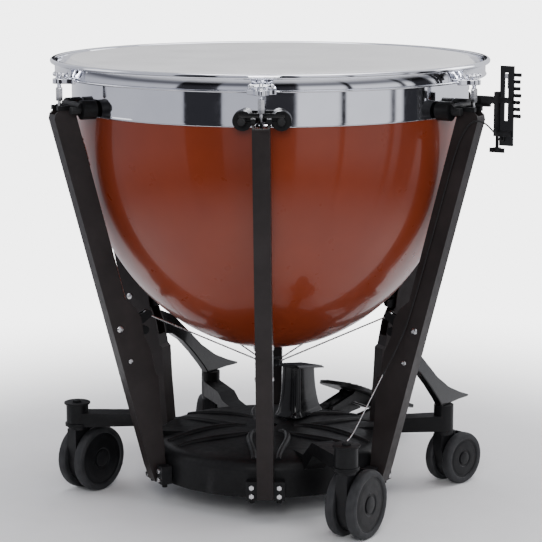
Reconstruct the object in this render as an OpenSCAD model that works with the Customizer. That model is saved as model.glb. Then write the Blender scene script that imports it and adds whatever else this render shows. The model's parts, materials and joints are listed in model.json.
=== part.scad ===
// Pedal timpani drum on a wheeled frame. Millimetres, +Z up.
// The origin is on the floor under the bowl's axis. The player and the pedal are towards +Y.

/* [Bowl and head] */
// Height of the playing surface above the floor
rim_h = 830; // [800:1:860]
// Outer radius of the bowl under its chrome band
bowl_r = 366; // [350:1:367]
// Depth of the rounded part of the bowl
bowl_dome = 458; // [445:1:460]
// Height of the straight part of the bowl wall
bowl_wall_h = 82; // [78:1:90]
// Thickness of the fibreglass wall
bowl_t = 5; // [4:0.5:7]
// Radius of the vent hole in the bottom of the bowl
vent_r = 12; // [8:1:15]
// Height of the chrome band around the top of the bowl
band_h = 78; // [70:1:80]
// Thickness of the head
head_t = 0.6; // [0.5:0.1:0.8]

/* [Counterhoop] */
// Inner radius of the counterhoop's upright band
hoop_band_r = 396.2; // [396:0.1:396.5]
// Thickness of the upright band
hoop_t = 2.8; // [2.5:0.1:3]
// Radius of the rolled top edge
hoop_roll_r = 4.5; // [4:0.1:4.5]
// Visible height of the counterhoop
hoop_h = 31; // [30:1:32]

/* [Tension screws] */
// Distance of the tension screws from the bowl's axis
screw_axis_r = 422.5; // [422:0.5:424]
// Half length of the T-handle
handle_half = 22.4; // [20:0.2:22.4]
// Radius of the T-handle bar
handle_bar_r = 3.8; // [3:0.1:4]
// Radius of the screw's shank
shank_r = 4; // [3.5:0.1:4]
// Radial clearance of every running fit
fit_gap = 0.08; // [0.05:0.01:0.1]

/* [Struts] */
// Number of struts and tension screws
strut_n = 6; // [6:1:6]
// Width of a strut across its two flanges
strut_w = 30; // [28:1:32]
// Thickness of a strut's flanges and web
strut_t = 4; // [3:0.5:5]
// Outer radius of the strut line at the foot
strut_foot_r = 252; // [250:1:254]
// Outer radius of the strut line at the top
strut_top_r = 438; // [437:1:439]

/* [Tension linkage] */
// Radius of the pull rods
pull_rod_r = 1.5; // [1.2:0.1:2]
// Radius of the tension rods
tension_rod_r = 3; // [2.5:0.1:3]

/* [Base] */
// Outer radius of the base pan
pan_r = 225; // [222:1:225]
// Height of the underside of the base pan
pan_z = 45; // [44:1:48]
// Wall thickness of the base pan
pan_t = 9; // [8:1:10]

/* [Casters] */
// Radius of the front caster wheels
front_wheel_r = 62.5; // [60:0.5:62.5]
// Radius of the rear caster wheels
rear_wheel_r = 50; // [48:0.5:50]
// Width of one caster wheel
wheel_w = 19; // [16:1:20]

/* [Pedal] */
// Width of the pedal plate
pedal_w = 100; // [90:1:110]
// Height of the pedal and rocker pivots
pivot_z = 82; // [82:1:84]

/* [Hidden] */
$fn = 64;
slack = 0.2;

// Bowl heights
wall_z0 = rim_h - 8 - bowl_wall_h;
wall_z1 = rim_h - 8;
band_z0 = wall_z1 - 7 - band_h;
edge_top_z = rim_h - 0.6;
head_top_z = rim_h + 0.1;
band_r = bowl_r + slack + 2.8;

// Counterhoop heights
hoop_z1 = rim_h;
hoop_z0 = hoop_z1 - hoop_h;
hoop_outer_r = hoop_band_r + hoop_t;
roll_c = hoop_outer_r + hoop_roll_r - 0.5;
flesh_r0 = 390;
flesh_z0 = hoop_z0 - 1;
flesh_z1 = flesh_z0 + 10;

// Tension screw heights
lug_z0 = hoop_z0 - 3;
lug_z1 = lug_z0 + 10;
handle_z = lug_z1 + 6;
coupler_z1 = lug_z0 - 6;
coupler_z0 = coupler_z1 - 24;
shank_z0 = coupler_z1 - 18;

// Struts, drawn in the plane of radius and height
strut_step = 360 / strut_n;
foot_z = 48;
top_z = 750;
strut_slope = (strut_top_r - strut_foot_r) / (735 - foot_z);
strut_depth = 41;
function outer_r(z) = strut_foot_r + strut_slope * (z - foot_z);
function inner_r(z) = outer_r(z) - strut_depth;
function rod_r(z) = inner_r(z) - 3.5;

// Bell cranks: pivot, tension rod pin and pull rod pin, as [radius, height]
crank_b_z = 345;
crank_p = [rod_r(crank_b_z) + 30, crank_b_z];
crank_b = [rod_r(crank_b_z), crank_b_z];
crank_a = [crank_p.x - 60, crank_b_z + 21];
crank_pin_r = 4;
rod_pin_r = 3.5;
pull_pin_r = 3;

// Spider hub on the master rod
hub_pin = [18, 250];
hub_r = 24;
pull_len = norm(crank_a - hub_pin);
pull_angle = atan2(crank_a.y - hub_pin.y, crank_a.x - hub_pin.x);

// Rocker and pedal, in the plane of Y and Z
rocker_y = -90;
pedal_pin_y = 215;
pedal_pivot_y = 400;
rocker_rise = 27 / (pedal_pin_y - rocker_y);
function rocker_z(y) = pivot_z + (y - rocker_y) * rocker_rise;
link_pin_r = 4;
pivot_pin_r = 5;
pedal_tilt = -20.7;
pedal_toe_y = 235;
pedal_toe_z = 156.4;
pedal_len = 283;

// Pan profile heights and the flat pad under the pedal tower
wall_top_z = 92;
deck_top_z = 124;
pad_z = 126;
tower_y0 = 62;
tower_y1 = 148;
tower_top_z = 218;
tower_w = 46;

// Casters
front_caster = [295, -220];
rear_caster = [270, 200];
front_socket = [130, 174];
rear_socket = [106, 158];
hood_half = 11;
wheel_in = hood_half + 1;
axle_r = 5;
stem_r = 8;

// Tuning gauge, on the strut at angle 0
gauge_x = 482;
gauge_z0 = 692;
gauge_z1 = 832;
gauge_arm_z = 764;

caster_names = ["front_left", "front_right", "rear_left", "rear_right"];
strut_ids = [for (i = [1 : strut_n]) i];

// ---- Helpers ----

// Turns to strut i, where X is outwards, Y is sideways and Z is up
module at_strut(i) {
    rotate([0, 0, (i - 1) * strut_step]) children();
}

module at_each_strut() {
    for (i = strut_ids) at_strut(i) children();
}

// Plate of thickness w, centred on Y = 0, from a shape drawn in radius and height
module upright(w) {
    rotate([90, 0, 0]) translate([0, 0, -w / 2]) linear_extrude(w) children();
}

// Plate of thickness w, centred on X = 0, from a shape drawn in Y and height
module upright_yz(w) {
    rotate([90, 0, 90]) translate([0, 0, -w / 2]) linear_extrude(w) children();
}

// Straight bar between two points of a plane, slightly narrower than its round ends
module bar_2d(p, q, r) {
    length = norm(q - p);
    half = 0.96 * r;
    translate(p) rotate(atan2(q.y - p.y, q.x - p.x)) translate([0, -half]) square([length, 2 * half]);
    translate(p) circle(r);
    translate(q) circle(r);
}

// Round bar between two points in space
module rod(p, q, r) {
    d = q - p;
    length = norm(d);
    translate(p)
        rotate([0, acos(d.z / length), atan2(d.y, d.x)])
            cylinder(h = length, r = r);
}

// Round bar that bends at each point of a path
module bent_rod(path, r) {
    for (k = [0 : len(path) - 2]) rod(path[k], path[k + 1], r);
    for (k = [1 : len(path) - 2]) translate(path[k]) sphere(r = r + 0.3);
}

module tube(r_out, r_in, z0, z1) {
    translate([0, 0, z0]) difference() {
        cylinder(h = z1 - z0, r = r_out, $fn = 128);
        translate([0, 0, -1]) cylinder(h = z1 - z0 + 2, r = r_in, $fn = 128);
    }
}

module hex_head(r, h) {
    cylinder(h = h, r = r, $fn = 6);
}

// ---- Bowl and head ----

dome_steps = 22;
function dome(a, b, t0) = [for (k = [0 : dome_steps])
    let (t = t0 + (90 - t0) * k / dome_steps) [a * sin(t), wall_z0 - b * cos(t)]];

module bowl() {
    a_in = bowl_r - bowl_t;
    b_in = bowl_dome - bowl_t;
    outer = dome(bowl_r, bowl_dome, asin(vent_r / bowl_r));
    inner = dome(a_in, b_in, asin(vent_r / a_in));
    color("sienna")
        rotate_extrude($fn = 128)
            polygon(concat(
                outer,
                [[bowl_r, wall_z1], [a_in, wall_z1]],
                [for (k = [dome_steps : -1 : 0]) inner[k]]
            ));
}

module bearing_edge() {
    color("silver")
        rotate_extrude($fn = 128)
            difference() {
                union() {
                    translate([bowl_r - 7, wall_z1]) square([9.5, edge_top_z - wall_z1 - 2]);
                    translate([bowl_r - 5, wall_z1]) square([5.5, edge_top_z - wall_z1]);
                    translate([bowl_r - 5, edge_top_z - 2]) circle(2);
                    translate([bowl_r + 0.5, edge_top_z - 2]) circle(2);
                }
                translate([bowl_r - 20, wall_z1 - 3]) square([40, 3]);
            }
}

module chrome_band() {
    color("gainsboro") tube(band_r, bowl_r + slack, band_z0, wall_z1 - 7);
}

module head() {
    lip = bowl_r + 4;
    skirt = flesh_r0 - 1;
    top = head_top_z;
    low = flesh_z1 + 1;
    color("whitesmoke")
        rotate_extrude($fn = 128)
            polygon([
                [0, top - head_t], [lip, top - head_t], [skirt - 0.8, low],
                [skirt - 0.8, flesh_z0 + 2], [skirt, flesh_z0 + 2],
                [skirt, low + 0.4], [lip + 0.3, top], [0, top]
            ]);
}

// ---- Counterhoop, which the tension rods pull down ----

module flesh_hoop() {
    color("silver") tube(hoop_band_r - slack, flesh_r0, flesh_z0, flesh_z1);
}

module counterhoop() {
    ledge_z = flesh_z1 + slack;
    color("gainsboro")
        rotate_extrude($fn = 128)
            union() {
                translate([hoop_band_r, hoop_z0]) square([hoop_t, hoop_h - 4]);
                translate([flesh_r0 + 1, ledge_z]) square([hoop_band_r - flesh_r0, 3]);
                translate([roll_c, hoop_z1 - hoop_roll_r]) circle(hoop_roll_r);
                translate([hoop_outer_r, hoop_z0 + 2]) circle(2);
            }
}

module hoop_lugs() {
    front = screw_axis_r + 11.5;
    back = hoop_outer_r + 2 + slack;
    color("gainsboro") at_each_strut() difference() {
        union() {
            translate([back, -14, lug_z0]) cube([front - back - 8, 28, lug_z1 - lug_z0]);
            translate([front - 12, 0, lug_z0]) cylinder(h = lug_z1 - lug_z0, r = 12);
        }
        translate([screw_axis_r, 0, lug_z0 - 1])
            cylinder(h = lug_z1 - lug_z0 + 2, r = shank_r + fit_gap);
    }
}

module tension_screw(i) {
    end_r = 4.4;
    color("gainsboro") at_strut(i) translate([screw_axis_r, 0, 0]) {
        translate([0, 0, shank_z0]) cylinder(h = handle_z - 2 - shank_z0, r = shank_r);
        translate([0, 0, lug_z1 + slack]) cylinder(h = 1.2, r = 7);
        translate([0, 0, handle_z - 4]) cylinder(h = 8.6, r = 5.4);
        rod([0, -handle_half + end_r, handle_z], [0, handle_half - end_r, handle_z], handle_bar_r);
        for (s = [-1, 1])
            translate([0, s * (handle_half - end_r), handle_z]) sphere(r = end_r);
    }
}

// Coupler nut, bent rod with a turnbuckle, and the eye on the bell crank's pin
module tension_rods() {
    low = [rod_r(crank_b_z + 6.5), 0, crank_b_z + 6.5];
    bend = [rod_r(712), 0, 712];
    nut_low = [rod_r(650), 0, 650];
    nut_high = [rod_r(695), 0, 695];
    eye_w = 5;
    color("silver") at_each_strut() {
        difference() {
            translate([screw_axis_r, 0, coupler_z0])
                cylinder(h = coupler_z1 - coupler_z0, r = 6.5);
            translate([screw_axis_r, 0, shank_z0 - 2])
                cylinder(h = 30, r = shank_r + fit_gap);
        }
        bent_rod([[screw_axis_r, 0, coupler_z0 + 1], [screw_axis_r - 1, 0, 753],
            [screw_axis_r - 13, 0, 738], bend, low], tension_rod_r);
        rod(nut_low, nut_high, 5);
        difference() {
            translate([crank_b.x, eye_w / 2, crank_b.y]) rotate([90, 0, 0])
                cylinder(h = eye_w, r = 8.5);
            translate([crank_b.x, eye_w, crank_b.y]) rotate([90, 0, 0])
                cylinder(h = 2 * eye_w, r = rod_pin_r + 0.6);
        }
    }
}

// ---- Frame ----

// Channel strut, open towards the bowl, with a wider housing for the bell crank
module strut(i) {
    foot_in = pan_r + 0.5;
    color([0.13, 0.11, 0.11]) at_strut(i) difference() {
        upright(strut_w) polygon([
            [strut_foot_r - 2, foot_z], [outer_r(80), 80], [strut_top_r, 735],
            [strut_top_r - 2, 744], [strut_top_r - 9, top_z], [inner_r(735) + 4, top_z],
            [inner_r(735), 742], [inner_r(400), 400], [286, 382], [275, 362], [270, 330],
            [256, 300], [247, 255], [241, 250], [238, 190], [foot_in + 1, 60], [foot_in, foot_z]
        ]);
        upright(strut_w - 2 * strut_t) polygon([
            [outer_r(275) - strut_t, 275], [outer_r(760) - strut_t, 760],
            [inner_r(760) - 6, 760], [inner_r(400) - 40, 400], [230, 330], [230, 275]
        ]);
        translate([crank_p.x, strut_w, crank_p.y]) rotate([90, 0, 0])
            cylinder(h = 2 * strut_w, r = crank_pin_r);
    }
}

// Yoke on each strut's top, with two round lobes against the chrome band
module bowl_brackets() {
    bar_r = 7;
    lobe_r = 17;
    lobe_y = 33;
    bar_x = 396;
    bar_z = top_z + bar_r;
    pad_x = band_r + 0.6;
    side = strut_w / 2 + 2;
    color([0.06, 0.06, 0.06]) at_each_strut() {
        difference() {
            union() {
                for (s = [-1, 1])
                    translate([bar_x, s * (side - 4) - 4, top_z]) cube([36, 8, 8]);
                rod([bar_x, -lobe_y - 6, bar_z], [bar_x, lobe_y + 6, bar_z], bar_r);
                for (s = [-1, 1])
                    rod([pad_x, s * lobe_y, bar_z - 6], [bar_x, s * lobe_y, bar_z - 6], lobe_r);
            }
            for (s = [-1, 1])
                rod([pad_x - 5, s * lobe_y, bar_z - 6], [pad_x + 3, s * lobe_y, bar_z - 6], 9);
        }
    }
}

// Two cheek blocks beside each strut's foot, with a small foot under each
module strut_clamps() {
    block = [21, 20, 34];
    near = strut_w / 2 + slack;
    color([0.1, 0.1, 0.1]) at_each_strut() for (s = [-1, 1]) {
        translate([pan_r + slack, s > 0 ? near : -near - block.y, pan_z + 1]) cube(block);
        translate([pan_r + 11, s * (near + block.y / 2), pan_z - 6]) cylinder(h = 7, r = 5);
    }
}

module frame_bolts() {
    near = strut_w / 2 + slack;
    face = pan_r + slack + 21;
    color("dimgray") at_each_strut() for (s = [-1, 1]) for (z = [54, 70])
        translate([face, s * (near + 10), z]) rotate([0, 90, 0]) hex_head(5, 4);
}

module pan_profile() {
    inner = pan_r - pan_t;
    polygon([
        [pan_r, pan_z], [pan_r, wall_top_z], [pan_r - 5, 104], [pan_r - 16, 112], [180, 118],
        [120, 122], [14, deck_top_z], [14, deck_top_z - pan_t], [120, 113], [180, 109],
        [inner - 6, 103], [inner, 90], [inner, pan_z]
    ]);
}

// Arm from the pan to a caster socket, stepped up at the knee to clear the wheels
module caster_arm(place, w, z0, z1, knee) {
    reach = norm(place);
    rotate([0, 0, atan2(place.y, place.x)]) upright(w) polygon([
        [160, 111], [pan_r - 6, 92], [pan_r + 12, z0 - 24], [knee, z0], [reach, z0], [reach, z1],
        [knee - 4, z1 - 3], [pan_r - 8, 122], [160, 119]
    ]);
}

module base_solid() {
    rotate_extrude($fn = 128) pan_profile();
    translate([-48, tower_y0 - 14, deck_top_z - 12])
        cube([96, tower_y1 - tower_y0 + 26, pad_z - deck_top_z + 8]);
    for (s = [-1, 1]) {
        caster_arm([s * front_caster.x, front_caster.y], 40, 131.5, 158, 262);
        translate([s * front_caster.x, front_caster.y, front_socket.x])
            cylinder(h = front_socket.y - front_socket.x, r = 21);
        caster_arm([s * rear_caster.x, rear_caster.y], 36, 107.5, 138, 248);
        translate([s * rear_caster.x, rear_caster.y, rear_socket.x])
            cylinder(h = rear_socket.y - rear_socket.x, r = 19);
        translate([s * 38 - 6, 205, pivot_z - 16]) cube([12, pedal_pivot_y - 197, 24]);
        translate([s * 16 - 5, rocker_y - 14, pivot_z - 14]) cube([10, 28, 46]);
    }
}

module base_casting() {
    color([0.04, 0.04, 0.04]) difference() {
        base_solid();
        translate([0, 0, pad_z - 30]) cylinder(h = 60, r = 14);
        translate([0, 105, pad_z - 40]) cylinder(h = 60, r = 16);
        translate([-27, 190, pan_z - 1]) cube([54, 60, 92]);
        translate([-10, 90, pan_z + 10]) cube([20, 110, pad_z]);
        translate([-60, rocker_y, pivot_z]) rotate([0, 90, 0]) cylinder(h = 120, r = pivot_pin_r);
        translate([-60, pedal_pivot_y, pivot_z]) rotate([0, 90, 0])
            cylinder(h = 120, r = pivot_pin_r);
        for (s = [-1, 1]) {
            translate([s * front_caster.x, front_caster.y, front_socket.x - 6])
                cylinder(h = front_socket.y - front_socket.x, r = stem_r + fit_gap);
            translate([s * rear_caster.x, rear_caster.y, rear_socket.x - 6])
                cylinder(h = rear_socket.y - rear_socket.x, r = stem_r + fit_gap);
        }
    }
}

// Curved wing from each side strut's housing down over the rear caster
module rear_wings() {
    near = strut_w / 2 + slack;
    seat = rear_socket.y + slack;
    color([0.05, 0.05, 0.05]) for (s = [-1, 1])
        translate([s * rear_caster.x, 0, 0]) upright_yz(16) polygon([
            [near, 318], [56, 302], [108, 262], [158, 222], [208, 192], [256, 172], [292, 160],
            [290, 156], [250, seat], [180, seat], [164, 176], [128, 210], [90, 242], [52, 264],
            [near, 270]
        ]);
}

// Hollow tapered housing over the balance spring
module pedal_tower() {
    back = tower_y1 - 9;
    front = tower_y0 + 7;
    side = [[tower_y0 - 10, pad_z], [tower_y1 + 12, pad_z], [tower_y1 + 2, 142], [back + 3, 176],
        [back, tower_top_z - 6], [front, tower_top_z + 6], [front - 3, 164], [tower_y0 - 2, 142]];
    color([0.05, 0.05, 0.05]) difference() {
        upright_yz(tower_w) polygon(side);
        translate([0, 105, pad_z - 1]) cylinder(h = tower_top_z - pad_z - 12, r = 16);
    }
}

module tower_lid() {
    tilt = atan(12 / (tower_y1 - tower_y0 - 16));
    lid_w = tower_w + 12;
    color([0.05, 0.05, 0.05])
        translate([0, tower_y0 + 7, tower_top_z + 6]) rotate([-tilt, 0, 0])
            translate([-lid_w / 2, -10, 0]) difference() {
                cube([lid_w, 96, 5]);
                for (x = [-1, lid_w - 4]) translate([x, -1, 3]) cube([5, 98, 3]);
            }
}

// Fixed pins: the six bell crank pins, the rocker pin and the pedal pin
module pivot_pins() {
    color("silver") {
        at_each_strut() translate([crank_p.x, strut_w / 2, crank_p.y]) rotate([90, 0, 0])
            cylinder(h = strut_w, r = crank_pin_r);
        translate([-21, rocker_y, pivot_z]) rotate([0, 90, 0]) cylinder(h = 42, r = pivot_pin_r);
        translate([-48, pedal_pivot_y, pivot_z]) rotate([0, 90, 0])
            cylinder(h = 96, r = pivot_pin_r);
    }
}

// Envelope of the extension spring between the rocker and the tower
module balance_spring() {
    color("dimgray")
        translate([0, 105, 0]) tube(12, 9, rocker_z(105) + 11, tower_top_z - 14);
}

// ---- Tension linkage ----

module spider_hub() {
    eye_r = 6.5;
    color([0.1, 0.1, 0.1]) difference() {
        union() {
            translate([0, 0, hub_pin.y - 5]) cylinder(h = 10, r = 12);
            at_each_strut() for (s = [-1, 1]) translate([6, s * 3.5 - 1.5, hub_pin.y - 5])
                cube([hub_r - 6, 3, 10]);
            translate([0, 0, hub_pin.y - 9]) cylinder(h = 4, r = 13);
        }
        translate([0, 0, hub_pin.y - 20]) cylinder(h = 40, r = link_pin_r + 0.02);
    }
    color("silver") at_each_strut() translate([hub_pin.x, 5, hub_pin.y])
        rotate([90, 0, 0]) cylinder(h = 10, r = 2);
}

module master_rod() {
    low = rocker_z(0);
    color("silver") {
        translate([0, 0, low + 14]) cylinder(h = hub_pin.y + 8 - low - 14, r = link_pin_r);
        translate([0, 0, hub_pin.y + 5.2]) hex_head(7, 6);
        difference() {
            translate([0, 0, low + 5.5]) cube([34, 12, 25], center = true);
            translate([0, 0, low + 2]) cube([22, 20, 24], center = true);
        }
        translate([-16, 0, low]) rotate([0, 90, 0]) cylinder(h = 32, r = link_pin_r);
    }
}

// Bell crank: two cheek plates, a pivot barrel and two pins
module bell_crank(i) {
    cheek_in = 4;
    cheek_t = 3;
    width = 2 * (cheek_in + cheek_t);
    lobe = [crank_b.x - 24, crank_b.y - 8];
    color([0.08, 0.08, 0.08]) at_strut(i) difference() {
        union() {
            difference() {
                upright(width) {
                    bar_2d(crank_p, crank_b, 9);
                    bar_2d(crank_b, lobe, 8);
                    bar_2d(crank_b, crank_a, 8);
                    bar_2d(crank_p, crank_a, 7);
                }
                upright(2 * cheek_in) translate([crank_a.x - 30, crank_b.y - 40])
                    square([crank_p.x - crank_a.x + 60, 100]);
            }
            upright(width) translate(crank_p) circle(8);
            upright(width) translate(crank_b) circle(rod_pin_r);
            upright(width) translate(crank_a) circle(pull_pin_r);
            upright(width) translate(lobe) circle(4);
        }
        translate([crank_p.x, strut_w, crank_p.y]) rotate([90, 0, 0])
            cylinder(h = 2 * strut_w, r = crank_pin_r + fit_gap);
    }
}

// Thin rod from the hub to a bell crank, with an eye at each end
module pull_rod(i) {
    eye_w = 3;
    gap = 0.7;
    color("silver") at_strut(i) translate([hub_pin.x, 0, hub_pin.y]) rotate([0, -pull_angle, 0])
        difference() {
            union() {
                rod([4, 0, 0], [pull_len - 5, 0, 0], pull_rod_r);
                for (end = [[0, 4.6], [pull_len, 6.5]])
                    translate([end.x, eye_w / 2, 0]) rotate([90, 0, 0])
                        cylinder(h = eye_w, r = end.y);
            }
            translate([0, eye_w, 0]) rotate([90, 0, 0]) cylinder(h = 2 * eye_w, r = 2 + fit_gap);
            translate([pull_len, eye_w, 0]) rotate([90, 0, 0])
                cylinder(h = 2 * eye_w, r = pull_pin_r + gap);
        }
}

// ---- Pedal ----

// Lever inside the base: it pivots at its front end, and two slots take the pins
module rocker_lever() {
    color("dimgray") difference() {
        upright_yz(12) {
            bar_2d([rocker_y, pivot_z], [pedal_pin_y, rocker_z(pedal_pin_y)], 10);
            translate([rocker_y, pivot_z]) circle(14);
            translate([pedal_pin_y, rocker_z(pedal_pin_y)]) circle(13);
        }
        translate([-20, rocker_y, pivot_z]) rotate([0, 90, 0])
            cylinder(h = 40, r = pivot_pin_r + fit_gap);
        for (y = [0, pedal_pin_y]) upright_yz(40)
            bar_2d([y - 5, rocker_z(y - 5)], [y + 5, rocker_z(y + 5)], link_pin_r + 0.8);
    }
}

// Two side bars from the pedal's pivot to the pin in the rocker's slot
module pedal_lever() {
    pin = [pedal_pin_y, rocker_z(pedal_pin_y)];
    pivot = [pedal_pivot_y, pivot_z];
    elbow = pivot + 100 * [-1, -tan(pedal_tilt)];
    color([0.07, 0.07, 0.07]) difference() {
        union() {
            for (s = [-1, 1]) translate([s * 13, 0, 0]) upright_yz(8) {
                bar_2d(pivot, elbow, 11);
                bar_2d(elbow, pin, 8);
            }
            upright_yz(52) translate(pivot) circle(11);
            upright_yz(30) translate(elbow) circle(8);
            upright_yz(34) translate(pin) circle(link_pin_r);
        }
        translate([-60, pedal_pivot_y, pivot_z]) rotate([0, 90, 0])
            cylinder(h = 120, r = pivot_pin_r + fit_gap);
    }
}

// Foot plate with a round toe and a round heel
module pedal_plate() {
    r = pedal_w / 2;
    rib = 8;
    color([0.06, 0.06, 0.06])
        translate([0, pedal_toe_y, pedal_toe_z]) rotate([pedal_tilt, 0, 0]) {
            linear_extrude(7) {
                translate([-r, r]) square([pedal_w, pedal_len - r - 14]);
                translate([0, r]) circle(r);
                translate([-r + 14, pedal_len - 14]) square([pedal_w - 28, 14]);
                for (s = [-1, 1]) translate([s * (r - 14), pedal_len - 14]) circle(14);
            }
            for (k = [0 : 5]) translate([-r + 16, 60 + 30 * k, 7]) cube([pedal_w - 32, rib, 2]);
        }
}

// ---- Tuning gauge ----

module gauge_bracket() {
    arm_x0 = strut_top_r - 6;
    color([0.06, 0.06, 0.06]) {
        translate([arm_x0, 8, gauge_arm_z]) cube([gauge_x - arm_x0 - 12, 8, 13]);
        translate([arm_x0 - 20, 9, top_z + 8]) cube([36, 8, 19]);
        translate([gauge_x - 22, 2, gauge_z0 + 16]) cube([10, 12, gauge_arm_z - gauge_z0 + 6]);
        translate([gauge_x - 22, 2, gauge_z0 + 16]) cube([34, 3, 10]);
        translate([gauge_x - 22, 2, gauge_arm_z + 3]) cube([34, 3, 10]);
    }
}

// Upright scale with a slot for the pointer and fixed note tabs beside it
module gauge_plate() {
    w = 26;
    slot = 7;
    color([0.08, 0.08, 0.08]) {
        difference() {
            translate([gauge_x - 12, 5.2, gauge_z0]) cube([w, 4, gauge_z1 - gauge_z0]);
            translate([gauge_x - slot / 2, 0, gauge_z0 + 44])
                cube([slot, 20, gauge_z1 - gauge_z0 - 56]);
        }
        for (k = [0 : 6]) translate([gauge_x + 5, 9.2, gauge_z0 + 50 + 12 * k]) cube([14, 2.5, 5]);
    }
}

module gauge_pointer() {
    z = gauge_z1 - 18;
    color("silver") {
        translate([gauge_x - 3, 5.3, z - 4]) cube([6, 6.4, 8]);
        translate([gauge_x - 8, 11.5, z - 1.5]) cube([12, 2, 3]);
        translate([gauge_x - 1, 11.5, z - 22]) cube([2, 2, 26]);
    }
}

// Wing knob that clamps the gauge to its bracket
module gauge_knob() {
    x = gauge_x - 17;
    color([0.08, 0.08, 0.08]) {
        translate([x, 8, gauge_z0 - 6]) cylinder(h = 21.8, r = 3);
        translate([x, 8, gauge_z0 - 12]) cylinder(h = 8, r = 7);
        translate([x - 14, 6, gauge_z0 - 13]) cube([28, 4, 8]);
    }
}

// Cable from the base to the gauge's foot, along the side of the strut
cable_r = 1.5;
cable_route = [
    [268, -188, 159.5], [270, -176, 168], [272, -156, 180], [275, -130, 206], [278, -90, 244], [280, -62, 270],
    [284, -40, 294], [292, -26, 322], [304, -20, 356], [320, -18.5, 408], [338, -18.5, 470],
    [358, -18.5, 540], [378, -18.5, 612], [398, -18.5, 680], [414, -18.5, 716], [432, -18, 734],
    [450, -14, 732], [464, -7, 718], [474, -1, 703], [479, 3, 701], [480, 3.5, 707.7]
];
cable_sides = 8;

function unit(v) = v / norm(v);
function tangent(k) = unit(
    cable_route[min(k + 1, len(cable_route) - 1)] - cable_route[max(k - 1, 0)]);
function ring(k) =
    let (t = tangent(k), u = unit(cross(t, [0.3, 1, 0])), v = cross(t, u))
    [for (j = [0 : cable_sides - 1])
        let (a = 360 * j / cable_sides)
        cable_route[k] + cable_r * (cos(a) * u + sin(a) * v)];

module gauge_cable() {
    rings = len(cable_route);
    points = [for (k = [0 : rings - 1]) each ring(k)];
    sides = [for (k = [0 : rings - 2]) for (j = [0 : cable_sides - 1])
        let (n = (j + 1) % cable_sides, a = k * cable_sides, b = a + cable_sides)
        [a + j, b + j, b + n, a + n]];
    first = [for (j = [0 : cable_sides - 1]) j];
    last = [for (j = [cable_sides - 1 : -1 : 0]) (rings - 1) * cable_sides + j];
    color("silver") {
        polyhedron(points = points, faces = concat(sides, [first], [last]));
    }
}

// ---- Casters ----

function is_front(c) = c < 2;
function side_sign(c) = c % 2 == 0 ? -1 : 1;
function wheel_r(c) = is_front(c) ? front_wheel_r : rear_wheel_r;
function trail(c) = is_front(c) ? 36 : 30;
function swivel(c) = [-7, 0, 24, -14][c];
function caster_place(c) = is_front(c)
    ? [side_sign(c) * front_caster.x, front_caster.y, 0]
    : [side_sign(c) * rear_caster.x, rear_caster.y, 0];
function socket(c) = is_front(c) ? front_socket : rear_socket;

module at_caster(c) {
    translate(caster_place(c)) rotate([0, 0, swivel(c)]) children();
}

// Swivel stem, plate and the hood between the two wheels
module caster_fork(c) {
    r = wheel_r(c);
    t = trail(c);
    plate_z = 2 * r - 0.5;
    color([0.07, 0.07, 0.08]) at_caster(c) {
        translate([0, 0, plate_z]) cylinder(h = socket(c).x - plate_z - 0.5, r = 18);
        translate([0, 0, plate_z]) cylinder(h = socket(c).y - plate_z - 8, r = stem_r);
        upright_yz(2 * hood_half) {
            translate([t, r]) circle(0.8 * r);
            polygon([[-17, plate_z + 1], [17, plate_z + 1], [t + 0.7 * r, 1.3 * r],
                [t, r - 4], [t - 0.78 * r, 0.9 * r], [-17, 1.5 * r]]);
        }
        translate([-wheel_in - wheel_w + 4, t, r]) rotate([0, 90, 0])
            cylinder(h = 2 * (wheel_in + wheel_w - 4), r = axle_r);
    }
}

// Two wheels on one axle, each with a rounded tread and a sunk outer face
module caster_wheels(c) {
    r = wheel_r(c);
    edge = 5;
    color([0.16, 0.16, 0.17]) at_caster(c) translate([0, trail(c), r])
        for (s = [-1, 1]) rotate([0, s * 90, 0]) translate([0, 0, wheel_in])
            rotate_extrude($fn = 96)
                polygon([[axle_r + fit_gap, 0], [r - 3, 0], [r, 3], [r, wheel_w - edge],
                    [r - 2, wheel_w - 2], [r - edge, wheel_w], [r - 13, wheel_w],
                    [r - 14, wheel_w - 2], [axle_r + fit_gap, wheel_w - 2]]);
}

// ---- Output ----

bowl();
bearing_edge();
chrome_band();
head();
flesh_hoop();
counterhoop();
hoop_lugs();
tension_rods();
bowl_brackets();
strut_clamps();
frame_bolts();
base_casting();
rear_wings();
pedal_tower();
tower_lid();
pivot_pins();
balance_spring();
spider_hub();
master_rod();
rocker_lever();
pedal_lever();
pedal_plate();
gauge_bracket();
gauge_plate();
gauge_pointer();
gauge_knob();
gauge_cable();
for (i = strut_ids) {
    strut(i);
    tension_screw(i);
    bell_crank(i);
    pull_rod(i);
}
for (c = [0 : len(caster_names) - 1]) {
    caster_fork(c);
    caster_wheels(c);
}
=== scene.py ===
import json
import math

import bmesh
import bpy
from mathutils import Matrix, Vector

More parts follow.
